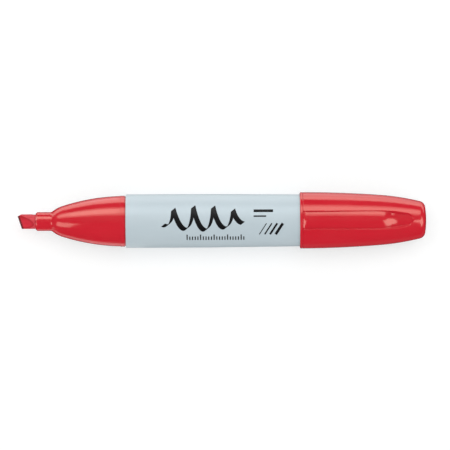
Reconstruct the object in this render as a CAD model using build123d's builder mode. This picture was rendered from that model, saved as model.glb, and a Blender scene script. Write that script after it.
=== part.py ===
from build123d import *

import math
import os

os.makedirs("parts", exist_ok=True)

# A chisel-tip marker, lying along X with its cap posted on the rear end: nib towards -X, cap
# towards +X, +Z up. The widest ring, the cap's rim, rests on Z = 0, and X = 0 is mid length.
# Every size is in millimetres.

# Lengths along the marker, in order from the nib's tip to the cap's end.
nib_exposed = 6.0
collar_length = 5.0
cone_length = 23.8
barrel_exposed = 55.6
cap_length = 40.4

# Outer radii.
nib_radius = 2.25
collar_radius = 2.98
band_radius = 8.13
barrel_radius = 8.55
barrel_rear_radius = 8.29
cap_rim_radius = 9.0

# Barrel and the tail that the posted cap covers.
barrel_bore_radius = 7.2
grip_length = 26.0
barrel_edge_fillet = 0.3
tail_land_length = 2.6
tail_length = 12.0
tail_bore_radius = 6.25
tail_step_setback = 0.5
tail_front_radius = 7.75
tail_end_radius = 7.25
bore_step_from_rim = 2.0
rib_count = 6
rib_width = 0.8

# Front section.
spigot_length = 8.0
spigot_bore_radius = 6.3
gap_width = 0.35
gap_radius = 7.9
band_width = 1.3
ogive_rear_radius = 8.05
ogive_mid = (11.5, 7.06)
ogive_end = (20.6, 4.82)
nose_mid = (22.4, 3.97)
collar_fillet = 0.35
collar_chamfer = 0.45
reservoir_front = 7.4
reservoir_seat_radius = 5.2
nib_hold_rear = 19.4
cone_mouth_radius = 3.2
vent_count = 4
vent_width = 0.5
vent_depth = 0.35
vent_start_angle = 45

# Nib: a round rod cut by two planes that meet in a slanted writing edge.
nib_tail = 4.0
edge_slant = 18.5
facet_angle = 24.5
edge_thickness = 0.7
corner_cut = (0.9, 0.6)
facet_overrun = 1.0
nib_rear_chamfer = 0.4

# Ink reservoir, its film sleeve and the rear plug.
reservoir_radius = 6.05
film_thickness = 0.15
reservoir_rear_from_rim = 3.0
plug_spigot_wall = 1.25
plug_web = (16.0, 20.0)
plug_recess_radius = 4.6
plug_end = 28.0
plug_end_radius = 5.95
plug_edge_fillet = 1.2

# Cap shell, measured from its rim towards its closed end.
cap_mid = (13.0, 8.747)
cap_turn = (26.0, 7.986)
cap_corner = (40.1, 5.5)
cap_corner_fillet = 2.2
cap_rim_fillet = 0.35
rim_groove = 0.86
rim_groove_half_width = 0.13
rim_groove_depth = 0.12
cap_land = (0.5, 3.0)
cap_land_clearance = 0.05
cap_lead_in = 0.1
cap_bore_front = (3.4, 8.05)
cap_bore_mid = (16.0, 7.35)
cap_bore_rear = (28.4, 6.2)
cap_bore_neck = (31.0, 4.9)
liner_seat_front = 37.0
cap_floor = 38.6

# Thumb panel on the cap's upper side: more sharply curved than the cap, so that it is sunk most
# at its edges. Its middle line scoops down from the rim's groove, comes up almost flush, then dives
# to a low floor before the rounded far end. Points are distance from the rim and height above the
# marker's axis.
panel_axis_rise = 2.4
panel_half_width = 2.95
panel_straight_end = 24.0
panel_end = (33.9, 35.9)
panel_end_half_width = 2.0
panel_scoop = [(0.9, 8.995), (1.9, 8.69), (3.0, 8.567)]
panel_top = [(14.0, 8.487), (24.7, 8.055)]
panel_dive = [(26.7, 7.782), (28.7, 7.115), (30.7, 6.447), (32.7, 6.175)]
panel_floor_end = (36.8, 6.134)
cutter_reach = 2.0

# Soft liner cup inside the cap's closed end.
liner_mouth = 25.5
liner_radius = 4.0
liner_bore_radius = 3.05
liner_seat_radius = 4.6
liner_floor = 37.4

overall_length = nib_exposed + collar_length + cone_length + barrel_exposed + cap_length
nib_tip_x = -overall_length / 2
collar_front_x = nib_tip_x + nib_exposed
collar_rear_x = collar_front_x + collar_length
barrel_front_x = collar_rear_x + cone_length
cap_rim_x = barrel_front_x + barrel_exposed
cap_end_x = cap_rim_x + cap_length
axis_height = cap_rim_radius

# Profiles are drawn with X along the marker and Y as the distance from its axis.
profile_plane = Plane(origin=(0, 0, axis_height), x_dir=(1, 0, 0), z_dir=(0, -1, 0))
marker_axis = Axis((0, 0, axis_height), (1, 0, 0))


def cross_plane(x):
    """The plane across the marker at station x, facing +X."""
    return Plane(origin=(x, 0, axis_height), x_dir=(0, 1, 0), z_dir=(1, 0, 0))


def ahead(distance, radius):
    """A profile point, given its distance ahead of the barrel's front edge."""
    return (barrel_front_x - distance, radius)


def behind(distance, radius):
    """A profile point, given its distance behind the cap's rim."""
    return (cap_rim_x + distance, radius)


# ---- Barrel: a tube with centring ribs, ending in the tail that the cap is posted on ----
with BuildPart() as barrel:
    with BuildSketch(profile_plane) as barrel_profile:
        with BuildLine():
            Polyline(
                (barrel_front_x, barrel_bore_radius),
                (barrel_front_x, barrel_radius),
                (barrel_front_x + grip_length, barrel_radius),
                behind(0, barrel_rear_radius),
                behind(0, band_radius),
                behind(tail_land_length, band_radius),
                behind(tail_land_length + tail_step_setback, tail_front_radius),
                behind(tail_length, tail_end_radius),
                behind(tail_length, tail_bore_radius),
                behind(bore_step_from_rim, tail_bore_radius),
                behind(bore_step_from_rim, barrel_bore_radius),
                close=True,
            )
        make_face()
        front_corner = barrel_profile.vertices().sort_by_distance(ahead(0, barrel_radius))[0]
        fillet(front_corner, radius=barrel_edge_fillet)
    revolve(axis=marker_axis)
    rib_start_x = barrel_front_x + spigot_length
    rib_length = cap_rim_x + bore_step_from_rim - rib_start_x
    rib_depth = barrel_bore_radius - tail_bore_radius
    with BuildSketch(cross_plane(rib_start_x)):
        with PolarLocations(tail_bore_radius + rib_depth / 2, rib_count):
            Rectangle(rib_depth, rib_width)
        Circle(tail_bore_radius, mode=Mode.SUBTRACT)
    extrude(amount=rib_length)

barrel.part.label = "barrel"
export_step(barrel.part, "parts/barrel.step")

# ---- Front section: ogive and collar outside, reservoir seat and vented nib bore inside ----
with BuildPart() as front_section:
    with BuildSketch(profile_plane) as front_profile:
        with BuildLine():
            band_rear = ahead(gap_width, band_radius)
            band_front = ahead(gap_width + band_width, band_radius)
            ogive_rear = ahead(gap_width + band_width, ogive_rear_radius)
            Polyline(
                ahead(-spigot_length, spigot_bore_radius),
                ahead(-spigot_length, barrel_bore_radius),
                ahead(0, barrel_bore_radius),
                ahead(0, gap_radius),
                ahead(gap_width, gap_radius),
                band_rear,
                band_front,
                ogive_rear,
            )
            ThreePointArc(ogive_rear, ahead(*ogive_mid), ahead(*ogive_end))
            ThreePointArc(ahead(*ogive_end), ahead(*nose_mid), (collar_rear_x, collar_radius))
            Polyline(
                (collar_rear_x, collar_radius),
                (collar_front_x, collar_radius),
                (collar_front_x, nib_radius),
                ahead(nib_hold_rear, nib_radius),
                ahead(nib_hold_rear, cone_mouth_radius),
                ahead(reservoir_front, reservoir_seat_radius),
                ahead(reservoir_front, spigot_bore_radius),
                ahead(-spigot_length, spigot_bore_radius),
            )
        make_face()
        nose_corner = front_profile.vertices().sort_by_distance((collar_rear_x, collar_radius))[0]
        fillet(nose_corner, radius=collar_fillet)
        collar_corner = front_profile.vertices().sort_by_distance((collar_front_x, collar_radius))[0]
        chamfer(collar_corner, length=collar_chamfer)
    revolve(axis=marker_axis)
    with BuildSketch(cross_plane(collar_front_x)):
        with PolarLocations(nib_radius, vent_count, start_angle=vent_start_angle):
            Rectangle(2 * vent_depth, vent_width)
        Circle(nib_radius, mode=Mode.SUBTRACT)
    vent_length = collar_length + cone_length - nib_hold_rear
    extrude(amount=vent_length, mode=Mode.SUBTRACT)

front_section.part.label = "front_section"
export_step(front_section.part, "parts/front_section.step")

# ---- Nib: felt rod, chisel-cut at the tip, its tail pressed into the reservoir ----
reservoir_front_x = barrel_front_x - reservoir_front
nib_rear_x = reservoir_front_x + nib_tail
slant = math.radians(edge_slant)
half_facet = math.radians(facet_angle)
edge_centre_x = nib_tip_x + nib_radius * math.tan(slant)
facet_length = (nib_radius - edge_thickness / 2) / math.tan(half_facet) + facet_overrun
facet_height = edge_thickness / 2 + facet_length * math.tan(half_facet)
keep_length = 2 * facet_length + nib_rear_x - nib_tip_x
edge_plane = Plane(
    origin=(edge_centre_x, 0, axis_height),
    x_dir=(math.cos(slant), math.sin(slant), 0),
    z_dir=(math.sin(slant), -math.cos(slant), 0),
)
with BuildPart() as nib:
    with BuildSketch(cross_plane(nib_tip_x)):
        Circle(nib_radius)
    extrude(amount=nib_rear_x - nib_tip_x)
    chamfer(nib.edges().sort_by(Axis.X)[-1], length=nib_rear_chamfer)
    with BuildSketch(edge_plane):
        with BuildLine():
            Polyline(
                (0, edge_thickness / 2),
                (facet_length, facet_height),
                (keep_length, facet_height),
                (keep_length, -facet_height),
                (facet_length, -facet_height),
                (0, -edge_thickness / 2),
                close=True,
            )
        make_face()
    extrude(amount=keep_length, both=True, mode=Mode.INTERSECT)
    with BuildSketch(Plane.XY.offset(axis_height)):
        with BuildLine():
            Polyline(
                (nib_tip_x - corner_cut[0], nib_radius - corner_cut[1]),
                (nib_tip_x + corner_cut[0], nib_radius + corner_cut[1]),
                (nib_tip_x - corner_cut[0], nib_radius + corner_cut[1]),
                close=True,
            )
        make_face()
    extrude(amount=nib_radius, both=True, mode=Mode.SUBTRACT)

nib.part.label = "nib"
export_step(nib.part, "parts/nib.step")

# ---- Ink reservoir and the film sleeve around it ----
reservoir_rear_x = cap_rim_x + reservoir_rear_from_rim
reservoir_length = reservoir_rear_x - reservoir_front_x
with BuildPart() as ink_reservoir:
    with BuildSketch(cross_plane(reservoir_front_x)):
        Circle(reservoir_radius)
    extrude(amount=reservoir_length)
    with BuildSketch(cross_plane(reservoir_front_x)):
        Circle(nib_radius)
    extrude(amount=nib_tail, mode=Mode.SUBTRACT)

ink_reservoir.part.label = "ink_reservoir"
export_step(ink_reservoir.part, "parts/ink_reservoir.step")

with BuildPart() as reservoir_sleeve:
    with BuildSketch(cross_plane(reservoir_front_x)):
        Circle(reservoir_radius + film_thickness)
        Circle(reservoir_radius, mode=Mode.SUBTRACT)
    extrude(amount=reservoir_length)

reservoir_sleeve.part.label = "reservoir_sleeve"
export_step(reservoir_sleeve.part, "parts/reservoir_sleeve.step")

# ---- Rear plug: spigot in the tail, hollow nose that the cap's liner reaches into ----
plug_core_radius = tail_bore_radius - plug_spigot_wall
with BuildPart() as rear_plug:
    with BuildSketch(profile_plane) as plug_profile:
        with BuildLine():
            Polyline(
                (reservoir_rear_x, plug_core_radius),
                (reservoir_rear_x, tail_bore_radius),
                behind(tail_length, tail_bore_radius),
                behind(tail_length, tail_end_radius),
                behind(plug_end, plug_end_radius),
                behind(plug_end, plug_recess_radius),
                behind(plug_web[1], plug_recess_radius),
                behind(plug_web[1], 0),
                behind(plug_web[0], 0),
                behind(plug_web[0], plug_core_radius),
                close=True,
            )
        make_face()
        plug_corner = plug_profile.vertices().sort_by_distance(behind(plug_end, plug_end_radius))[0]
        fillet(plug_corner, radius=plug_edge_fillet)
    revolve(axis=marker_axis)

rear_plug.part.label = "rear_plug"
export_step(rear_plug.part, "parts/rear_plug.step")

# ---- Cutter for the thumb panel: what lies above the panel's surface, within its outline ----
panel_axis = Axis((0, 0, axis_height + panel_axis_rise), (1, 0, 0))
panel_plane = Plane(
    origin=(0, 0, axis_height + panel_axis_rise), x_dir=(1, 0, 0), z_dir=(0, -1, 0)
)


def panel_point(distance, height):
    """A point of the panel's middle line, in the profile plane that turns about the panel's axis."""
    return behind(distance, height - panel_axis_rise)


with BuildPart() as panel_cutter:
    with BuildSketch(panel_plane):
        with BuildLine():
            scoop = [panel_point(*station) for station in panel_scoop]
            top = [panel_point(*station) for station in panel_top]
            dive = [panel_point(*station) for station in panel_dive]
            floor_end = panel_point(*panel_floor_end)
            outer_radius = cap_rim_radius + cutter_reach
            ThreePointArc(*scoop)
            ThreePointArc(scoop[-1], *top)
            ThreePointArc(top[-1], dive[0], dive[1])
            ThreePointArc(dive[1], dive[2], dive[3])
            Polyline(
                dive[3],
                floor_end,
                (floor_end[0], outer_radius),
                (scoop[0][0], outer_radius),
                scoop[0],
            )
        make_face()
    revolve(axis=panel_axis)
    with BuildSketch(Plane.XY.offset(axis_height)):
        with BuildLine():
            front_x = panel_scoop[0][0]
            for side in (1, -1):
                front_point = behind(front_x, side * panel_half_width)
                straight_point = behind(panel_straight_end, side * panel_half_width)
                rear_point = behind(panel_end[0], side * panel_end_half_width)
                Line(front_point, straight_point)
                TangentArc(straight_point, rear_point, tangent=(1, 0))
            Line(behind(front_x, panel_half_width), behind(front_x, -panel_half_width))
            ThreePointArc(
                behind(panel_end[0], panel_end_half_width),
                behind(panel_end[1], 0),
                behind(panel_end[0], -panel_end_half_width),
            )
        make_face()
    extrude(amount=2 * cap_rim_radius, mode=Mode.INTERSECT)

# ---- Cap shell ----
cap_land_radius = band_radius + cap_land_clearance
with BuildPart() as cap_shell:
    with BuildSketch(profile_plane) as cap_profile:
        with BuildLine():
            side_arc = ThreePointArc(
                behind(0, cap_rim_radius), behind(*cap_mid), behind(*cap_turn)
            )
            TangentArc(behind(*cap_turn), behind(*cap_corner), tangent=side_arc % 1)
            Polyline(
                behind(*cap_corner),
                behind(cap_length, 0),
                behind(cap_floor, 0),
                behind(cap_floor, liner_seat_radius),
                behind(liner_seat_front, liner_seat_radius),
                behind(*cap_bore_neck),
                behind(*cap_bore_rear),
            )
            ThreePointArc(behind(*cap_bore_rear), behind(*cap_bore_mid), behind(*cap_bore_front))
            Polyline(
                behind(*cap_bore_front),
                behind(cap_land[1], cap_land_radius),
                behind(cap_land[0], cap_land_radius),
                behind(0, cap_land_radius + cap_lead_in),
                behind(0, cap_rim_radius),
            )
        make_face()
        rim_corner = cap_profile.vertices().sort_by_distance(behind(0, cap_rim_radius))[0]
        fillet(rim_corner, radius=cap_rim_fillet)
        end_corner = cap_profile.vertices().sort_by_distance(behind(*cap_corner))[0]
        fillet(end_corner, radius=cap_corner_fillet)
    revolve(axis=marker_axis)
    with BuildSketch(profile_plane):
        with BuildLine():
            Polyline(
                behind(rim_groove - rim_groove_half_width, cap_rim_radius),
                behind(rim_groove, cap_rim_radius - rim_groove_depth),
                behind(rim_groove + rim_groove_half_width, cap_rim_radius),
                close=True,
            )
        make_face()
    revolve(axis=marker_axis, mode=Mode.SUBTRACT)
    add(panel_cutter.part, mode=Mode.SUBTRACT)

cap_shell.part.label = "cap_shell"
export_step(cap_shell.part, "parts/cap_shell.step")

# ---- Cap liner: the soft cup that seals round the collar when the cap is on the nib end ----
with BuildPart() as cap_liner:
    with BuildSketch(profile_plane):
        with BuildLine():
            Polyline(
                behind(liner_mouth, liner_bore_radius),
                behind(liner_mouth, liner_radius),
                behind(liner_seat_front, liner_radius),
                behind(liner_seat_front, liner_seat_radius),
                behind(cap_floor, liner_seat_radius),
                behind(cap_floor, 0),
                behind(liner_floor, 0),
                behind(liner_floor, liner_bore_radius),
                close=True,
            )
        make_face()
    revolve(axis=marker_axis)

cap_liner.part.label = "cap_liner"
export_step(cap_liner.part, "parts/cap_liner.step")
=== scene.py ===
import math

import bmesh
import bpy
import numpy as np
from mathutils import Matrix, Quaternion, Vector


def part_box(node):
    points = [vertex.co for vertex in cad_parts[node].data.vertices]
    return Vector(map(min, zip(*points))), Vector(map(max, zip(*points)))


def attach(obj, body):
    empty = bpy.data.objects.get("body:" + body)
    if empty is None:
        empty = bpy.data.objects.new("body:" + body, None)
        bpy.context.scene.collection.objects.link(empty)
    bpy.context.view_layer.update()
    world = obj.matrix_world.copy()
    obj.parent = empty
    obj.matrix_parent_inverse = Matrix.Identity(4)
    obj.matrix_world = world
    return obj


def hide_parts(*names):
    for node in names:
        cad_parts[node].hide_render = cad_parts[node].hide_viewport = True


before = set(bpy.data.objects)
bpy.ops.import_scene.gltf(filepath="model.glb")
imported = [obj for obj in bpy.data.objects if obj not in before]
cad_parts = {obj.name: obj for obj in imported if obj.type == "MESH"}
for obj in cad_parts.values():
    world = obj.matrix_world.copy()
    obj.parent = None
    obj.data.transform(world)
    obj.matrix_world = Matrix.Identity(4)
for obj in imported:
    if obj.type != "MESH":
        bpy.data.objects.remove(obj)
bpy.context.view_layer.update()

# Sizes are in millimetres, and become metres where a mesh, light or camera is made.
MM = 0.001


def node_x(node):
    """The stations, in mm, where a CAD node starts and ends along the marker."""
    low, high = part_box(node)
    return low.x / MM, high.x / MM


# Stations along the marker, and its axis, all read from the CAD nodes in model.glb.
NIB_TIP_X, NIB_REAR_X = node_x("nib")
COLLAR_FRONT_X, SPIGOT_REAR_X = node_x("front_section")
BARREL_FRONT_X, TAIL_END_X = node_x("barrel")
CAP_RIM_X, CAP_END_X = node_x("cap_shell")
PLUG_FRONT_X, PLUG_END_X = node_x("rear_plug")
barrel_low, barrel_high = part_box("barrel")
AXIS_Z = (barrel_low.z + barrel_high.z) / 2 / MM
BARREL_R = (barrel_high.z - barrel_low.z) / 2 / MM

# Radii, lengths and angles that repeat the CAD model's.
NIB_R = 2.25
EDGE_SLANT = math.radians(18.5)      # of the nib's writing edge
FACET_ANGLE = math.radians(24.5)     # of each of the nib's two facets
COLLAR_R = 2.98
BAND_R = 8.13
GRIP_LENGTH = 26.0
BARREL_REAR_R = 8.29
BARREL_BORE_R = 7.2
TAIL_END_R = 7.25
TAIL_BORE_R = 6.25
CAP_R = 9.0

EDGE = 0.05                          # small rounding on moulded edges
RING_STEPS = 160                     # points round a turned piece


def ahead(distance, *rest):
    """A profile point at a distance ahead of the barrel's front edge: its radius and fillet follow."""
    return (BARREL_FRONT_X - distance, *rest)


def behind(distance, *rest):
    """A profile point at a distance behind the cap's rim: its radius and fillet follow."""
    return (CAP_RIM_X + distance, *rest)


# ---------------------------------------------------------------- profiles and lathe work


def arc_about(centre, radius, start, end, count):
    """Points on the shorter arc about centre from start to end, both ends included."""
    first = math.atan2(start[1] - centre[1], start[0] - centre[0])
    last = math.atan2(end[1] - centre[1], end[0] - centre[0])
    turn = (last - first + math.pi) % (2 * math.pi) - math.pi
    steps = (first + turn * i / count for i in range(count + 1))
    return [(centre[0] + radius * math.cos(a), centre[1] + radius * math.sin(a)) for a in steps]


def arc(start, mid, end, count):
    """The arc, under half a circle, through three profile points."""
    (ax, ay), (bx, by), (cx, cy) = start, mid, end
    a2, b2, c2 = ax * ax + ay * ay, bx * bx + by * by, cx * cx + cy * cy
    d = 2 * (ax * (by - cy) + bx * (cy - ay) + cx * (ay - by))
    ux = (a2 * (by - cy) + b2 * (cy - ay) + c2 * (ay - by)) / d
    uy = (a2 * (cx - bx) + b2 * (ax - cx) + c2 * (bx - ax)) / d
    return arc_about((ux, uy), math.hypot(ax - ux, ay - uy), start, end, count)


def tangent_arc(start, direction, end, count):
    """The arc that leaves start along direction and ends at end."""
    start, end = Vector(start), Vector(end)
    normal = Vector((-direction[1], direction[0])).normalized()
    chord = end - start
    radius = chord.length_squared / (2 * chord.dot(normal))
    return arc_about(start + normal * radius, abs(radius), start, end, count)


def rounded(corners, steps=5, hold=0.03):
    """A profile from corners (x, r, fillet radius).

    A corner with a fillet becomes an arc, with a holding point on each side of it that keeps the
    shading of the flat faces flat. A corner whose fillet is 0 stays as it is.
    """
    points = []
    for i, (x, r, radius) in enumerate(corners):
        if radius == 0:
            points.append((x, r))
            continue
        here = Vector((x, r))
        back = (Vector(corners[i - 1][:2]) - here).normalized()
        on = (Vector(corners[(i + 1) % len(corners)][:2]) - here).normalized()
        half = back.angle(on) / 2
        setback = radius / math.tan(half)
        centre = here + (back + on).normalized() * (radius / math.sin(half))
        first, last = here + back * setback, here + on * setback
        points.append(tuple(first + back * hold))
        points += arc_about(centre, radius, first, last, steps)
        points.append(tuple(last + on * hold))
    return points


def mesh_object(name, vertices, faces):
    """A smooth-shaded mesh from vertices in mm."""
    mesh = bpy.data.meshes.new(name)
    mesh.from_pydata([tuple(c * MM for c in v) for v in vertices], [], faces)
    mesh.validate()
    mesh.update()
    for polygon in mesh.polygons:
        polygon.use_smooth = True
    made = bpy.data.objects.new(name, mesh)
    bpy.context.scene.collection.objects.link(made)
    return made


def lathe(name, profile, ring_angles, shape=None):
    """Turns (x, radius) points about the marker's axis into one closed mesh.

    ring_angles(x) gives the angles of a ring, from +Z towards +Y. shape(x, radius, angle), if
    given, returns the radius to use there. A profile ends in two poles of radius 0, or joins up
    with itself.
    """
    vertices, rings = [], []
    for x, r in profile:
        if r < 1e-6:
            rings.append([len(vertices)])
            vertices.append((x, 0.0, AXIS_Z))
            continue
        ring = []
        for angle in ring_angles(x):
            radius = shape(x, r, angle) if shape else r
            ring.append(len(vertices))
            vertices.append((x, radius * math.sin(angle), AXIS_Z + radius * math.cos(angle)))
        rings.append(ring)
    faces = []
    has_poles = len(rings[0]) == 1
    pairs = list(zip(rings, rings[1:])) + ([] if has_poles else [(rings[-1], rings[0])])
    for a, b in pairs:
        for i in range(max(len(a), len(b))):
            if len(a) == 1:
                faces.append((a[0], b[i], b[i - 1]))
            elif len(b) == 1:
                faces.append((a[i - 1], a[i], b[0]))
            else:
                faces.append((a[i - 1], a[i], b[i], b[i - 1]))
    return mesh_object(name, vertices, faces)


def even_ring(count):
    """Equal steps round the marker, the same at every station."""
    angles = [2 * math.pi * i / count for i in range(count)]
    return lambda x: angles


def fix_normals(piece):
    """Turns every face outwards."""
    work = bmesh.new()
    work.from_mesh(piece.data)
    bmesh.ops.recalc_face_normals(work, faces=work.faces)
    work.to_mesh(piece.data)
    work.free()


def smoothstep(low, high, value):
    """0 up to low, 1 from high on, and a smooth rise between them."""
    t = min(max((value - low) / (high - low), 0.0), 1.0)
    return t * t * (3 - 2 * t)


# ---------------------------------------------------------------- materials

NOISE_RANGE = (0.3, 0.7)             # where nearly all of a noise texture's values lie


class Surface:
    """A Principled material with helpers that add procedural detail, in the object's own mm."""

    def __init__(self, name, color, roughness, **constants):
        self.material = bpy.data.materials.new(name)
        self.material.use_nodes = True
        self.tree = self.material.node_tree
        self.shader = self.tree.nodes["Principled BSDF"]
        self.shader.inputs["Base Color"].default_value = (*color, 1.0)
        self.shader.inputs["Roughness"].default_value = roughness
        for socket, value in constants.items():
            self.shader.inputs[socket.replace("_", " ")].default_value = value
        self.object_space = self.tree.nodes.new("ShaderNodeTexCoord").outputs["Object"]

    def node(self, kind, links=None, **settings):
        """A new node, each of whose inputs is linked to a socket or set to a value."""
        made = self.tree.nodes.new(kind)
        for key, value in settings.items():
            setattr(made, key, value)
        for socket, source in (links or {}).items():
            if hasattr(source, "is_output"):
                self.tree.links.new(source, made.inputs[socket])
            else:
                made.inputs[socket].default_value = source
        return made

    def space(self, stretch):
        """Object coordinates in mm, divided by a stretch along each axis."""
        scale = tuple(1 / (MM * s) for s in stretch)
        links = {"Vector": self.object_space, "Scale": scale}
        return self.node("ShaderNodeMapping", links).outputs["Vector"]

    def noise(self, stretch, detail=3.0, roughness=0.5):
        """Noise whose grains are about as long as stretch, in mm along each axis."""
        links = {"Vector": self.space(stretch), "Scale": 1.0}
        links.update({"Detail": detail, "Roughness": roughness})
        return self.node("ShaderNodeTexNoise", links).outputs["Fac"]

    def remap(self, source, low, high, to_low, to_high):
        """Takes low..high to to_low..to_high, and stops at both ends."""
        links = {"Value": source, "From Min": low, "From Max": high}
        links.update({"To Min": to_low, "To Max": to_high})
        return self.node("ShaderNodeMapRange", links).outputs["Result"]

    def spread(self, noise, to_low=0.0, to_high=1.0):
        """Takes a noise's usual range to to_low..to_high."""
        return self.remap(noise, *NOISE_RANGE, to_low, to_high)

    def math(self, operation, a, b):
        return self.node("ShaderNodeMath", {0: a, 1: b}, operation=operation).outputs[0]

    def vector_math(self, operation, *sources):
        """A vector operation's node; the caller takes the output that it needs."""
        return self.node("ShaderNodeVectorMath", dict(enumerate(sources)), operation=operation)

    def axis(self, vector, name):
        """One axis of a vector: "X", "Y" or "Z"."""
        return self.node("ShaderNodeSeparateXYZ", {"Vector": vector}).outputs[name]

    def mix_color(self, factor, a, b):
        """From a to b as factor goes from 0 to 1; a colour is linear RGB or a socket."""
        made = self.node("ShaderNodeMix", data_type="RGBA")
        self.tree.links.new(factor, made.inputs[0])
        for socket, source in ((made.inputs[6], a), (made.inputs[7], b)):
            if hasattr(source, "is_output"):
                self.tree.links.new(source, socket)
            else:
                socket.default_value = (*source, 1.0)
        return made.outputs[2]

    def bump(self, height, distance, normal=None):
        """A bump that rises distance mm from height 0 to 1, on top of another normal if given."""
        links = {"Height": height, "Distance": distance * MM, "Strength": 1.0}
        if normal is not None:
            links["Normal"] = normal
        return self.node("ShaderNodeBump", links).outputs["Normal"]

    def set(self, socket, source):
        """Links an input of the shader."""
        self.tree.links.new(source, self.shader.inputs[socket])


def red_plastic():
    """Glossy moulded polypropylene: near-even red, faint flow marks, rubbed streaks, orange peel."""
    s = Surface("red_plastic", (0.64, 0.016, 0.03), 0.16, Specular_IOR_Level=0.9)
    s.shader.inputs["Specular Tint"].default_value = (1.0, 0.94, 0.76, 1.0)
    flow = s.noise((18.0, 5.0, 5.0), detail=2.0)
    red = s.mix_color(s.spread(flow), (0.63, 0.0145, 0.029), (0.665, 0.0165, 0.033))
    # Diffuse rays find a neutral colour here, so the red throws no tint on the pale table.
    bounce = s.node("ShaderNodeLightPath").outputs["Is Diffuse Ray"]
    s.set("Base Color", s.mix_color(bounce, red, (0.40, 0.40, 0.40)))
    rub = s.noise((2.5, 0.35, 0.35), detail=4.0, roughness=0.6)
    haze = s.noise((6.0, 6.0, 6.0), detail=3.0)
    streaks = s.remap(rub, 0.55, 0.75, 0.0, 0.05)
    s.set("Roughness", s.math("ADD", streaks, s.spread(haze, 0.115, 0.165)))
    peel = s.noise((0.9, 0.9, 0.9), detail=2.0)
    fine = s.noise((0.18, 0.18, 0.18), detail=2.0)
    s.set("Normal", s.bump(fine, 0.0006, normal=s.bump(peel, 0.0012)))
    return s.material


def barrel_plastic():
    """Satin blue-grey barrel: a fine spark-eroded texture with slight shading from handling."""
    s = Surface("barrel_plastic", (0.50, 0.59, 0.635), 0.38, Specular_IOR_Level=0.75)
    tone = s.noise((14.0, 4.0, 4.0), detail=3.0)
    s.set("Base Color", s.mix_color(s.spread(tone), (0.495, 0.585, 0.63), (0.515, 0.605, 0.65)))
    haze = s.noise((3.0, 1.2, 1.2), detail=5.0, roughness=0.6)
    s.set("Roughness", s.spread(haze, 0.37, 0.46))
    grain = s.noise((0.16, 0.16, 0.16), detail=2.0)
    s.set("Normal", s.bump(grain, 0.0035))
    return s.material


def print_ink():
    """Pad-printed black ink: slightly uneven gloss, with tiny pinholes of wear."""
    black, worn = (0.003, 0.003, 0.004), (0.09, 0.10, 0.11)
    s = Surface("print_ink", black, 0.45, Specular_IOR_Level=0.3)
    wear = s.noise((0.35, 0.35, 0.35), detail=4.0, roughness=0.65)
    s.set("Base Color", s.mix_color(s.remap(wear, 0.7, 0.8, 0.0, 0.6), black, worn))
    s.set("Roughness", s.spread(wear, 0.38, 0.52))
    s.set("Normal", s.bump(wear, 0.002))
    return s.material


def nib_felt():
    """Ink-soaked felt: fibres along the rod, a deeper red on the ground facets with painted shade and a
    painted reflection on them, dark along the cut edge.
    """
    s = Surface("nib_felt", (0.58, 0.02, 0.04), 0.45, Specular_IOR_Level=0.3)
    fibres = s.noise((1.6, 0.09, 0.09), detail=4.0, roughness=0.65)
    pooled = s.noise((1.2, 0.8, 0.8), detail=3.0)
    rod = s.mix_color(s.spread(fibres), (0.58, 0.026, 0.040), (0.74, 0.058, 0.075))
    rod = s.mix_color(s.remap(pooled, 0.45, 0.7, 0.0, 0.4), rod, (0.54, 0.022, 0.036))

    # The facets are where the surface lies inside the rod's own radius.
    radial = s.vector_math("MULTIPLY", s.object_space, (0.0, 1.0, 1.0)).outputs["Vector"]
    off_axis = s.vector_math("ADD", radial, (0.0, 0.0, -AXIS_Z * MM)).outputs["Vector"]
    from_axis = s.vector_math("LENGTH", off_axis).outputs["Value"]
    ground = s.remap(from_axis, (NIB_R - 0.10) * MM, (NIB_R - 0.03) * MM, 1.0, 0.0)
    # Painted shade and reflection on the facets: darker along their boundary with the rod and towards +Y,
    # lighter lower down as a painted reflection.
    facet_rim_painted_shade = s.remap(from_axis, (NIB_R - 0.6) * MM, (NIB_R - 0.15) * MM, 0.0, 0.75)
    across = s.remap(s.axis(s.object_space, "Y"), 0.2 * MM, 1.4 * MM, 0.0, 1.0)
    facet = s.mix_color(across, (0.66, 0.011, 0.032), (0.52, 0.001, 0.010))
    facet = s.mix_color(facet_rim_painted_shade, facet, (0.42, 0.001, 0.010))

    # The writing edge is a line of constant x once the nib is turned by its slant.
    spin = {"Vector": s.object_space, "Rotation": (0.0, 0.0, -EDGE_SLANT)}
    turned_x = s.axis(s.node("ShaderNodeMapping", spin).outputs["Vector"], "X")
    edge_x = (NIB_TIP_X * math.cos(EDGE_SLANT) + NIB_R * math.sin(EDGE_SLANT)) * MM
    near_edge = s.remap(turned_x, edge_x + 0.40 * MM, edge_x + 0.80 * MM, 1.0, 0.0)

    felt = s.mix_color(ground, rod, facet)
    s.set("Base Color", s.mix_color(near_edge, felt, (0.15, 0.001, 0.006)))
    rougher = s.math("MULTIPLY", ground, 0.3)
    s.set("Roughness", s.math("ADD", s.spread(fibres, 0.28, 0.46), rougher))
    fuzz = s.noise((0.07, 0.05, 0.05), detail=3.0, roughness=0.7)
    s.set("Normal", s.bump(fuzz, 0.012, normal=s.bump(fibres, 0.03)))
    return s.material


def reservoir_fibre():
    """Bundled fibres, soaked red and running along the marker."""
    s = Surface("reservoir_fibre", (0.45, 0.02, 0.04), 0.8, Sheen_Weight=0.3)
    fibres = s.noise((6.0, 0.12, 0.12), detail=5.0, roughness=0.7)
    s.set("Base Color", s.mix_color(s.spread(fibres), (0.22, 0.006, 0.016), (0.6, 0.06, 0.08)))
    s.set("Roughness", s.spread(fibres, 0.65, 0.9))
    s.set("Normal", s.bump(fibres, 0.05))
    return s.material


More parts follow.
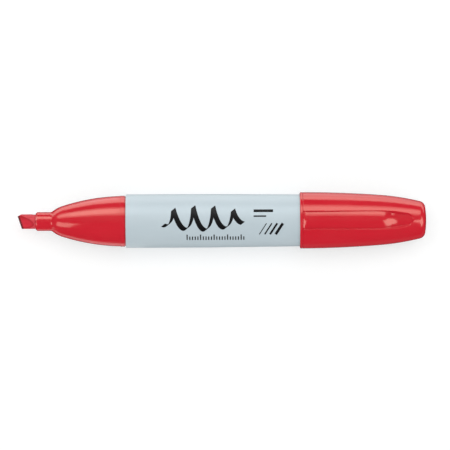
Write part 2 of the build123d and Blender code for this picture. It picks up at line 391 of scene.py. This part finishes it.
def sleeve_film():
    """Thin wrapped film with lengthwise wrinkles."""
    s = Surface("sleeve_film", (0.72, 0.70, 0.68), 0.25)
    wrinkles = s.noise((9.0, 0.5, 0.5), detail=3.0)
    s.set("Base Color", s.mix_color(wrinkles, (0.62, 0.58, 0.56), (0.80, 0.78, 0.76)))
    s.set("Roughness", s.spread(wrinkles, 0.18, 0.36))
    s.set("Normal", s.bump(wrinkles, 0.03))
    return s.material


def liner_plastic():
    """Soft natural polyethylene with a faint mould haze and a trace of red from the nib."""
    soft = {"Subsurface_Weight": 0.15, "Subsurface_Scale": 0.0006}
    s = Surface("liner_plastic", (0.78, 0.76, 0.71), 0.38, **soft)
    haze = s.noise((2.0, 1.0, 1.0), detail=4.0)
    trace = s.remap(haze, 0.55, 0.75, 0.0, 0.5)
    s.set("Base Color", s.mix_color(trace, (0.80, 0.78, 0.73), (0.72, 0.50, 0.48)))
    s.set("Roughness", s.spread(haze, 0.32, 0.46))
    s.set("Normal", s.bump(haze, 0.004))
    return s.material


RED = red_plastic()
GREY = barrel_plastic()
INK = print_ink()
FELT = nib_felt()


def dress(piece, material, slot, body, *nodes):
    """Gives a new piece its material and body, and hides the CAD nodes that it stands for. The slot
    argument is not used.
    """
    fix_normals(piece)
    piece.data.materials.clear()
    piece.data.materials.append(material)
    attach(piece, body)
    if nodes:
        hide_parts(*nodes)


def paint_node(node, material):
    """Gives a CAD node that keeps its own shape a procedural material of the same name as its slot."""
    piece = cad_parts[node]
    piece.data.materials.clear()
    piece.data.materials.append(material)


# ---------------------------------------------------------------- barrel

TAPER_START_X = BARREL_FRONT_X + GRIP_LENGTH


def barrel_radius(x):
    """The barrel's outer radius: parallel along the grip, then a straight taper to the cap."""
    along = max(0.0, (x - TAPER_START_X) / (CAP_RIM_X - TAPER_START_X))
    return BARREL_R - (BARREL_R - BARREL_REAR_R) * along


def make_barrel():
    """The tube, the stepped tail that the cap goes over, and a plain bore."""
    taper_hold = 0.5                 # a ring this far each side of the taper's start
    bore_step = 2.0                  # behind the cap's rim, where the tail's narrower bore begins
    corners = [
        (BARREL_FRONT_X, BARREL_BORE_R, EDGE),
        (BARREL_FRONT_X, BARREL_R, 0.3),
        (TAPER_START_X - taper_hold, BARREL_R, 0),
        (TAPER_START_X + taper_hold, barrel_radius(TAPER_START_X + taper_hold), 0),
        behind(0.0, BARREL_REAR_R, EDGE),
        behind(0.0, BAND_R, 0),
        behind(2.6, BAND_R, 0.2),
        behind(3.1, 7.75, 0.2),
        (TAIL_END_X, TAIL_END_R, EDGE),
        (TAIL_END_X, TAIL_BORE_R, EDGE),
        behind(bore_step, TAIL_BORE_R, EDGE),
        behind(bore_step, BARREL_BORE_R, EDGE),
    ]
    piece = lathe("barrel_tube", rounded(corners), even_ring(RING_STEPS))
    dress(piece, GREY, "barrel_plastic", "marker_body", "barrel")


# ---------------------------------------------------------------- printed marks

INK_PROUD = 0.02                     # how far the ink stands above the barrel
INK_SINK = 0.05                      # how far its hidden underside lies below the surface


def ribbon(rows, vertices, faces, across=4):
    """Adds a thin closed strip of ink, wrapped on the barrel, between pairs of (x, y) points in mm."""
    top, bottom = [], []
    for left, right in rows:
        for layer, radius_offset in ((top, INK_PROUD), (bottom, -INK_SINK)):
            row = []
            for j in range(across + 1):
                x = left[0] + (right[0] - left[0]) * j / across
                y = left[1] + (right[1] - left[1]) * j / across
                surface = barrel_radius(x)
                angle = math.asin(y / surface)
                radius = surface + radius_offset
                row.append(len(vertices))
                vertices.append((x, radius * math.sin(angle), AXIS_Z + radius * math.cos(angle)))
            layer.append(row)
    for a, b, c, d in zip(top, top[1:], bottom, bottom[1:]):
        for j in range(across):
            faces.append((a[j], a[j + 1], b[j + 1], b[j]))
            faces.append((c[j], d[j], d[j + 1], c[j + 1]))
        faces.append((a[0], b[0], d[0], c[0]))
        faces.append((a[-1], c[-1], d[-1], b[-1]))
    for upper, lower in ((top[0], bottom[0]), (top[-1], bottom[-1])):
        for j in range(across):
            faces.append((upper[j], lower[j], lower[j + 1], upper[j + 1]))


def pen_stroke(path, width, pen_angle, vertices, faces):
    """Inks a path with a broad pen held at a fixed angle, so that its strokes go thick and thin."""
    reach = Vector((math.cos(pen_angle), math.sin(pen_angle))) * width / 2
    rows = [(tuple(Vector(p) - reach), tuple(Vector(p) + reach)) for p in path]
    ribbon(rows, vertices, faces)


def line(start, end, width, vertices, faces):
    """Inks a straight line of even width."""
    a, b = Vector(start), Vector(end)
    half = (b - a).orthogonal().normalized() * width / 2
    steps = max(2, int((b - a).length / 0.5))
    points = [a + (b - a) * i / steps for i in range(steps + 1)]
    ribbon([(tuple(p - half), tuple(p + half)) for p in points], vertices, faces, across=2)


def sample_wave():
    """The path of the pen's sample stroke: slanted waves that swell and then fade."""
    steps, waves, start_x, length = 160, 4, -18.6, 25.4
    path = []
    for i in range(steps + 1):
        u = i / steps
        phase = waves * 2 * math.pi * u
        height = 1.0 + 3.4 * math.sin(math.pi * (0.12 + 0.8 * u)) ** 0.8
        x = start_x + length * u + 0.9 * math.sin(phase)
        path.append((x, 0.7 + 0.15 * u + height * math.sin(phase - 1.9) * 0.85))
    return path


def make_print():
    """A sample stroke of the pen, a ruled scale, two bars and four line widths. No lettering."""
    vertices, faces = [], []
    pen_stroke(sample_wave(), 1.65, math.radians(38), vertices, faces)
    tick_foot, tick_pitch = -6.1, 0.86
    for i in range(22):
        tall = 1.7 if i % 5 == 0 else 1.1
        x = -11.0 + tick_pitch * i
        line((x, tick_foot), (x, tick_foot + tall), 0.36, vertices, faces)
    line((10.2, 3.1), (16.4, 3.1), 0.85, vertices, faces)
    line((10.2, 1.4), (14.2, 1.4), 0.45, vertices, faces)
    for x, width in ((12.0, 0.26), (13.7, 0.42), (15.4, 0.62), (17.2, 0.86)):
        line((x, -4.4), (x + 2.3, -0.9), width, vertices, faces)
    piece = mesh_object("barrel_print", vertices, faces)
    dress(piece, INK, "barrel_plastic", "marker_body")


# ---------------------------------------------------------------- front section

NIB_BORE_REAR = 19.4                 # how far ahead of the barrel the nib's bore ends
FRONT_RING_STEPS = RING_STEPS + 32   # finer, for the vents
VENT_COUNT = 4
VENT_HALF_ANGLE = math.asin(0.25 / NIB_R)
VENT_DEPTH = 0.35


def cut_vents(x, radius, angle):
    """Cuts the air grooves into the nib's bore."""
    if radius > NIB_R + 0.2 or x > BARREL_FRONT_X - NIB_BORE_REAR + 0.1:
        return radius
    spacing = 2 * math.pi / VENT_COUNT
    off = abs((angle + spacing / 2) % spacing - spacing / 2)
    groove = 1 - smoothstep(VENT_HALF_ANGLE * 0.8, VENT_HALF_ANGLE * 1.2, off)
    return radius + VENT_DEPTH * groove


def make_front_section():
    """Outside, the collar, nose, ogive and band. Inside, the reservoir's seat and the nib's bore."""
    collar_rear_x = COLLAR_FRONT_X + 5.0
    collar_chamfer, collar_fillet, inner_fillet = 0.45, 0.45, 0.1
    ogive_front = ahead(20.6, 4.82)
    ogive_rear_r = BAND_R - 0.08     # the band stands proud of the ogive
    band_front, gap, gap_r = 1.65, 0.35, 7.9
    seat_front, seat_r = 7.4, 6.3
    ogive = arc(ogive_front, ahead(11.5, 7.08), ahead(band_front + 0.06, ogive_rear_r), 60)
    nose = arc((collar_rear_x, COLLAR_R - 0.05), ahead(22.4, 3.97), ogive_front, 14)
    collar_to_nose = tangent_arc((collar_rear_x - collar_fillet, COLLAR_R), (1, 0), nose[2], 6)
    corners = [
        (COLLAR_FRONT_X, NIB_R, EDGE),
        (COLLAR_FRONT_X, COLLAR_R - collar_chamfer, EDGE),
        (COLLAR_FRONT_X + collar_chamfer, COLLAR_R, EDGE),
    ]
    corners += [(x, r, 0) for x, r in collar_to_nose + nose[3:-1] + ogive]
    corners += [
        ahead(band_front + 0.04, ogive_rear_r, 0),
        ahead(band_front + 0.03, ogive_rear_r, 0),
        ahead(band_front, BAND_R, 0.02),
        ahead(gap, BAND_R, 0.08),
        ahead(gap, gap_r, EDGE),
        ahead(0.0, gap_r, EDGE),
        ahead(0.0, BARREL_BORE_R, EDGE),
        (SPIGOT_REAR_X, BARREL_BORE_R, inner_fillet),
        (SPIGOT_REAR_X, seat_r, inner_fillet),
        ahead(seat_front, seat_r, inner_fillet),
        ahead(seat_front, 5.2, inner_fillet),
        ahead(NIB_BORE_REAR, 3.2, inner_fillet),
        ahead(NIB_BORE_REAR, NIB_R, inner_fillet),
    ]
    piece = lathe("front_cone", rounded(corners), even_ring(FRONT_RING_STEPS), cut_vents)
    dress(piece, RED, "red_plastic", "marker_body", "front_section")


# ---------------------------------------------------------------- nib


def soft_min(a, b, softness):
    """The smaller of two lengths, blended over a short stretch where they are close."""
    h = max(softness - abs(a - b), 0.0) / softness
    return min(a, b) - h * h * softness / 4


def felt_ripple():
    """A function of station and angle that gives the pressed fibres' unevenness, in mm."""
    phases = np.random.default_rng(7).uniform(0, 2 * math.pi, (5, 3))

    def ripple(s, angle):
        value = 0.0
        for k, (a, b, c) in enumerate(phases):
            around = math.sin((9 + 7 * k) * angle + a + 0.6 * math.sin(1.7 * s + b))
            value += around * math.cos(0.9 * s + c)
        return 0.005 * value

    return ripple


def writing_edge(ring):
    """Faces that close the blunt writing edge, from one side of the foremost ring to the other."""
    around = len(ring)
    faces = []
    for i in range(around // 2):
        j, k = (-i) % around, (-i - 1) % around
        corners = list(dict.fromkeys((ring[i], ring[i + 1], ring[k], ring[j])))
        if len(corners) >= 3:
            faces.append(tuple(corners))
    return faces


def make_nib():
    """A rod whose tip is sheared to the slanted edge and squeezed between two facets."""
    around = 144
    slant = math.tan(EDGE_SLANT)
    facet = math.tan(FACET_ANGLE) * math.cos(EDGE_SLANT)
    lean = 0.28                      # the facets lean over a little, away from the foremost corner
    edge_half, edge_round = 0.35, 0.12
    cut_depth, cut_height = 1.25, 0.7
    cut_slope = cut_height / cut_depth
    free_swell = 0.08                # how far the felt swells where no bore holds it
    facet_end = (NIB_R - edge_half) / facet
    rear_s = NIB_REAR_X - NIB_TIP_X - 2 * NIB_R * slant
    stations = [edge_round * (1 - math.cos(math.pi / 2 * i / 6)) for i in range(1, 7)]
    stations += list(np.arange(0.2, facet_end + 1.6, 0.08))
    stations += list(np.linspace(facet_end + 1.7, rear_s, 40))
    first_x = NIB_TIP_X + NIB_R * slant
    ripple = felt_ripple()
    vertices, rings = [], []
    for s in stations:
        shear = slant * (1 - smoothstep(facet_end + 1.0, facet_end + 12.0, s))
        held = smoothstep(COLLAR_FRONT_X - 0.5, COLLAR_FRONT_X - 0.1, first_x + s)
        rod_r = NIB_R + free_swell * (1 - held)
        y_limit = NIB_R - cut_height + (first_x + s - NIB_TIP_X) * cut_slope
        y_limit /= 1 + cut_slope * shear
        inset = 0.0
        if s < edge_round:
            inset = edge_round - math.sqrt(max(edge_round**2 - (edge_round - s) ** 2, 0.0))
        ring = []
        for i in range(around):
            angle = 2 * math.pi * i / around
            side_y = math.sin(angle)
            leaning = lean * (NIB_R * side_y) * smoothstep(0.0, 3.0, s)
            half = max(edge_half + s * facet + leaning, edge_half)
            flat = half / max(abs(math.cos(angle)), 1e-3)
            radius = soft_min(rod_r + ripple(s, angle), flat, 0.12) - inset
            y = min(radius * side_y, y_limit)
            ring.append(len(vertices))
            vertices.append((first_x + s - y * shear, y, AXIS_Z + radius * math.cos(angle)))
        rings.append(ring)
    faces = []
    for a, b in zip(rings, rings[1:]):
        faces += [(a[i - 1], a[i], b[i], b[i - 1]) for i in range(around)]
    faces += writing_edge(rings[0])
    rear = len(vertices)
    vertices.append((NIB_REAR_X, 0.0, AXIS_Z))
    faces += [(rings[-1][i - 1], rings[-1][i], rear) for i in range(around)]
    piece = mesh_object("nib_felt_tip", vertices, faces)
    dress(piece, FELT, "nib_felt", "marker_body", "nib")


# ---------------------------------------------------------------- cap

# Here t is a distance behind the cap's rim.
CAP_BOW = 0.0015                     # the side bows in by this times t squared
CAP_TURN = 25.8                      # from here on it bows in faster
CAP_TURN_BOW = 0.0051
CAP_LAND_R = BAND_R + 0.05
RIM_GROOVE, RIM_GROOVE_HALF, RIM_GROOVE_DEPTH = 0.86, 0.13, 0.12

PANEL_HALF = 2.95                    # half the thumb panel's width
PANEL_RISE = 2.4                     # it is round about an axis this far above the marker's
PANEL_START = 1.0                    # it scoops down from here
PANEL_END = 35.9
PANEL_END_R = 2.0                    # its far end's rounding


def cap_outer(t):
    """The cap's outer radius, before the end's corner."""
    return CAP_R - CAP_BOW * t * t - CAP_TURN_BOW * max(0.0, t - CAP_TURN) ** 2


def panel_middle(t):
    """The panel's middle line above the marker's axis: a scoop, a rise to near flush, a dive, a floor."""
    scoop_end, scoop_depth = 3.0, 0.42
    dive_start, dive_length, flush_depth = 24.7, 8.0, 0.03
    dive_slope, dive_steeper, floor_slope = 0.08, 0.31, 0.01
    if t < scoop_end:
        left = (scoop_end - t) / (scoop_end - PANEL_START)
        return cap_outer(t) - scoop_depth * (1 - left**2)
    if t < dive_start:
        left = (dive_start - t) / (dive_start - scoop_end)
        return cap_outer(t) - flush_depth - (scoop_depth - flush_depth) * left
    along = min(t - dive_start, dive_length)
    swing = dive_length / (4 * math.pi) * math.sin(2 * math.pi * along / dive_length)
    beyond = max(0.0, t - dive_start - dive_length)
    drop = dive_slope * along + dive_steeper * (along / 2 - swing) + floor_slope * beyond
    return cap_outer(dive_start) - flush_depth - drop


def panel_half_width(t):
    """Half the thumb panel's width: even, then drawn in towards a round far end."""
    narrows, round_start = 24.0, PANEL_END - PANEL_END_R
    past = min(t - round_start, PANEL_END_R)
    if past > 0:
        return math.sqrt(PANEL_END_R**2 - past * past)
    drawn_in = max(0.0, t - narrows) / (round_start - narrows)
    return PANEL_HALF - (PANEL_HALF - PANEL_END_R) * drawn_in**2


def panel_wall(t):
    """The width of the panel's side walls: steep, then gentler towards the far end."""
    return 0.18 + 0.32 * smoothstep(25.0, 32.0, t)


def panel_weight(t, y):
    """1 inside the thumb panel, 0 outside, changing over its walls."""
    wall = panel_wall(t)
    past = t - (PANEL_END - PANEL_END_R)
    inside = PANEL_END_R - math.hypot(past, y) if past > 0 else panel_half_width(t) - abs(y)
    return smoothstep(-wall / 2, wall / 2, inside) if t > PANEL_START else 0.0


def cap_shape(x, radius, angle):
    """The cap's outer radius with the thumb panel sunk into its upper side."""
    t = x - CAP_RIM_X
    on_inside = radius < cap_outer(t) - 0.05
    off_panel = t > PANEL_END + 0.6 or abs(math.sin(angle)) > 0.5 or math.cos(angle) < 0
    if on_inside or off_panel:
        return radius
    weight = panel_weight(t, radius * math.sin(angle))
    if weight == 0:
        return radius
    # The panel's own axis drops during the dive, so that the floor beyond is flatter across.
    rise = PANEL_RISE - 7.0 * smoothstep(28.8, 31.4, t)
    pad = panel_middle(t) - rise
    across = rise * math.sin(angle)
    sunk = rise * math.cos(angle) + math.sqrt(pad * pad - across * across)
    return radius + (min(sunk, radius) - radius) * weight


def cap_ring(x):
    """Ring angles that crowd round the panel's side walls at every station."""
    t = min(max(x - CAP_RIM_X, 0.0), PANEL_END)
    crowd = 0.11 + panel_wall(t) * 0.5
    half = max(panel_half_width(t), crowd + 0.1)
    outer = cap_outer(t)
    first, last = math.asin((half - crowd) / outer), math.asin((half + crowd) / outer)
    side = list(np.linspace(0, first, 14, endpoint=False))
    side += list(np.linspace(first, last, 14, endpoint=False))
    side += list(np.linspace(last, math.pi, 64, endpoint=False))
    return side + [math.pi] + [2 * math.pi - a for a in reversed(side[1:])]


def make_cap():
    """The cap from its closed end's outside, forward over the rim, and up the bore to its floor."""
    corner_t, corner_end = 38.4, (40.05, 4.3)
    slope = -2 * CAP_BOW * corner_t - 2 * CAP_TURN_BOW * (corner_t - CAP_TURN)
    corner = tangent_arc((corner_t, cap_outer(corner_t)), (1, slope), corner_end, 16)
    dome = tangent_arc((CAP_END_X - CAP_RIM_X, 0.0), (0, 1), corner_end, 8)
    # The side's stations, by start, stop and step, are closest where the panel's ends are.
    stretches = (
        (1.005, 3.2, 0.07),
        (3.3, 24.8, 0.6),
        (25.0, 33.3, 0.25),
        (33.5, 36.3, 0.07),
        (36.4, 38.3, 0.35),
    )
    side_t = [t for stretch in stretches for t in np.arange(*stretch)]
    outer = dome[:-1] + corner[::-1] + [(t, cap_outer(t)) for t in reversed(side_t)]
    rim = rounded([
        (RIM_GROOVE + RIM_GROOVE_HALF, CAP_R, 0.02),
        (RIM_GROOVE, CAP_R - RIM_GROOVE_DEPTH, 0.05),
        (RIM_GROOVE - RIM_GROOVE_HALF, CAP_R, 0.05),
        (0.0, CAP_R, 0.35),
        (0.0, CAP_LAND_R + 0.1, 0.05),
        (0.5, CAP_LAND_R, 0.1),
        (3.0, CAP_LAND_R, 0),
    ], steps=8)
    bore = arc((3.4, 8.05), (16.0, 7.35), (28.4, 6.2), 20)
    liner_seat_r, floor_t = 4.6, 38.6
    seat = rounded([
        (28.5, 6.16, 0),
        (31.0, 4.9, 0.3),
        (37.0, liner_seat_r, 0.05),
        (floor_t, liner_seat_r, 0.05),
        (floor_t, 0.0, 0),
    ])
    profile = [behind(t, r) for t, r in outer + rim + bore + seat]
    piece = lathe("cap_cover", profile, cap_ring, cap_shape)
    dress(piece, RED, "red_plastic", "cap", "cap_shell")


# ---------------------------------------------------------------- rear plug


def make_rear_plug():
    """The stopper: a hollow spigot in the tail, a web across it, and a recess open to the rear."""
    core_r, recess_r = 5.0, 4.6
    web_x, recess_floor_x = TAIL_END_X + 4.0, PLUG_END_X - 8.0
    web = rounded([(web_x, 0.0, 0), (web_x, core_r, 0.3), (PLUG_FRONT_X, core_r, 0)])
    outer = rounded([
        (PLUG_FRONT_X, core_r, EDGE),
        (PLUG_FRONT_X, TAIL_BORE_R, 0.2),
        (TAIL_END_X, TAIL_BORE_R, 0),
        (TAIL_END_X, TAIL_END_R, 0.15),
        (PLUG_END_X, 5.95, 1.2),
        (PLUG_END_X, recess_r, 0.25),
        (recess_floor_x, recess_r, 0.3),
        (recess_floor_x, 0.0, 0),
    ])
    piece = lathe("rear_stopper", web[:-1] + outer, even_ring(RING_STEPS))
    dress(piece, RED, "red_plastic", "marker_body", "rear_plug")


make_barrel()
make_print()
make_front_section()
make_nib()
make_cap()
make_rear_plug()
paint_node("cap_liner", liner_plastic())
paint_node("ink_reservoir", reservoir_fibre())
paint_node("reservoir_sleeve", sleeve_film())


# ---------------------------------------------------------------- studio and camera

# Strengths of the sky, the lights and the table.
ZENITH, HORIZON = 0.68, 1.04
OVERHEAD = 1.36
KEY = 2.5
SIDE = 2.6
TABLE_EMISSION = 0.44
TABLE_GLOW = 1.9


def studio_floor():
    """A wide pale light table that runs out into the pale world behind it."""
    around, radii = 96, (0.3, 0.9, 3.0)
    angles = [2 * math.pi * i / around for i in range(around)]
    vertices, faces = [(0.0, 0.0, 0.0)], []
    for r in radii:
        vertices += [(r * math.cos(a), r * math.sin(a), 0.0) for a in angles]
    for ring in range(len(radii)):
        for i in range(around):
            here, there = 1 + ring * around + i, 1 + ring * around + (i + 1) % around
            if ring == 0:
                faces.append((0, here, there))
            else:
                faces.append((here - around, here, there, there - around))
    mesh = bpy.data.meshes.new("light_table")
    mesh.from_pydata(vertices, [], faces)
    table = bpy.data.objects.new("light_table", mesh)
    bpy.context.scene.collection.objects.link(table)
    top = Surface("light_table", (0.59, 0.59, 0.59), 0.9, Emission_Strength=TABLE_EMISSION)
    top.shader.inputs["Emission Color"].default_value = (1.0, 1.0, 1.0, 1.0)
    tone = top.noise((40.0, 40.0, 40.0))
    top.set("Base Color", top.mix_color(tone, (0.585, 0.585, 0.585), (0.595, 0.595, 0.595)))
    mesh.materials.append(top.material)
    table.visible_glossy = False


def studio_sky():
    """A pale sky, brighter towards the horizon, that lights matt surfaces and is never mirrored."""
    world = bpy.data.worlds.new("studio_world")
    bpy.context.scene.world = world
    world.use_nodes = True
    nodes, links = world.node_tree.nodes, world.node_tree.links
    background = nodes["Background"]
    background.inputs["Color"].default_value = (1.0, 1.0, 1.0, 1.0)
    heading = nodes.new("ShaderNodeSeparateXYZ")
    links.new(nodes.new("ShaderNodeTexCoord").outputs["Generated"], heading.inputs["Vector"])
    fade = nodes.new("ShaderNodeMapRange")
    fade.inputs["To Min"].default_value, fade.inputs["To Max"].default_value = HORIZON, ZENITH
    links.new(heading.outputs["Z"], fade.inputs["Value"])
    links.new(fade.outputs["Result"], background.inputs["Strength"])
    world.cycles_visibility.glossy = False


def card(name, direction, distance, size, radiance, lights_diffuse=False, target=None, spin=0.0):
    """A rectangular light of (across, up) metres that faces its target, turned by spin in its plane.

    It shows only in glossy surfaces or, with lights_diffuse, lights only matt ones.
    """
    data = bpy.data.lights.new(name, "AREA")
    data.shape = "RECTANGLE"
    data.size, data.size_y = size
    data.energy = radiance * math.pi * size[0] * size[1]
    light = bpy.data.objects.new(name, data)
    away = Vector(direction).normalized()
    light.location = Vector(target or (0.0, 0.0, AXIS_Z * MM)) + away * distance
    light.rotation_mode = "QUATERNION"
    light.rotation_quaternion = away.to_track_quat("Z", "Y") @ Quaternion((0.0, 0.0, 1.0), spin)
    light.visible_camera = False
    light.visible_diffuse = lights_diffuse
    light.visible_glossy = not lights_diffuse
    bpy.context.scene.collection.objects.link(light)


def table_strip(name, x_range, y_range, radiance):
    """A glowing strip of the table, in mm, that the marker's sides mirror."""
    middle = ((x_range[0] + x_range[1]) / 2 * MM, (y_range[0] + y_range[1]) / 2 * MM, 0.0)
    size = ((x_range[1] - x_range[0]) * MM, (y_range[1] - y_range[0]) * MM)
    card(name, (0.0, 0.0, -1.0), -0.0003, size, radiance, target=middle)


def tilted(angle):
    """The direction that leans over from straight up towards +Y."""
    return (0.0, math.sin(math.radians(angle)), math.cos(math.radians(angle)))


def lights():
    """One soft light for the matt surfaces, and the cards and strips that the glossy ones mirror."""
    key_middle, key_end = (-0.25, 0.0, AXIS_Z * MM), (-0.29, 0.0, AXIS_Z * MM)
    on_corner = math.pi / 4
    card("overhead", tilted(14), 1.2, (1.6, 0.7), OVERHEAD, lights_diffuse=True)
    card("key_core", tilted(48), 0.75, (1.5, 0.28), KEY / 2, target=key_middle)
    card("key_wide", tilted(47), 0.76, (1.5, 0.55), KEY / 2, target=key_middle)
    card("key_left", tilted(47), 0.74, (0.40, 0.36), KEY * 0.3, target=key_end)
    card("left_card", (-0.69, -0.31, 0.59), 0.8, (0.38, 0.38), SIDE * 0.85, spin=on_corner)
    card("right_card", (0.80, -0.18, 0.57), 0.8, (0.58, 0.58), SIDE * 1.1, spin=on_corner)
    table_strip("table_far", (-260, 150), (38, 180), TABLE_GLOW)
    table_strip("table_left", (-260, -34), (19, 180), TABLE_GLOW * 0.3)
    table_strip("table_tip", (-320, -108), (-75, 38), TABLE_GLOW * 0.8)
    table_strip("table_near", (-200, 130), (19, 38), TABLE_GLOW * 0.7)
    table_strip("table_close", (-100, 100), (12, 19), TABLE_GLOW * 0.3)
    table_strip("table_shade", (-100, 100), (-40, -10), TABLE_GLOW * 0.05)
    table_strip("table_front", (-75, -25), (-27, -14), TABLE_GLOW * 0.5)
    table_strip("table_middle", (-25, 22), (-38, -14), TABLE_GLOW * 0.35)


def camera():
    """Straight down on the marker through a long lens, framed as a product shot."""
    lens, sensor, frame_width = 400.0, 36.0, 0.1439
    aim_x, aim_y, roll = 1.08 * MM, -1.38 * MM, math.radians(-0.27)
    data = bpy.data.cameras.new("camera")
    data.lens, data.sensor_width = lens, sensor
    data.clip_start, data.clip_end = 0.01, 10.0
    made = bpy.data.objects.new("camera", data)
    made.location = (aim_x, aim_y, AXIS_Z * MM + frame_width * lens / sensor)
    made.rotation_euler = (0.0, 0.0, roll)
    bpy.context.scene.collection.objects.link(made)
    bpy.context.scene.camera = made


studio_floor()
studio_sky()
lights()
camera()
bpy.context.scene.view_settings.view_transform = "Standard"
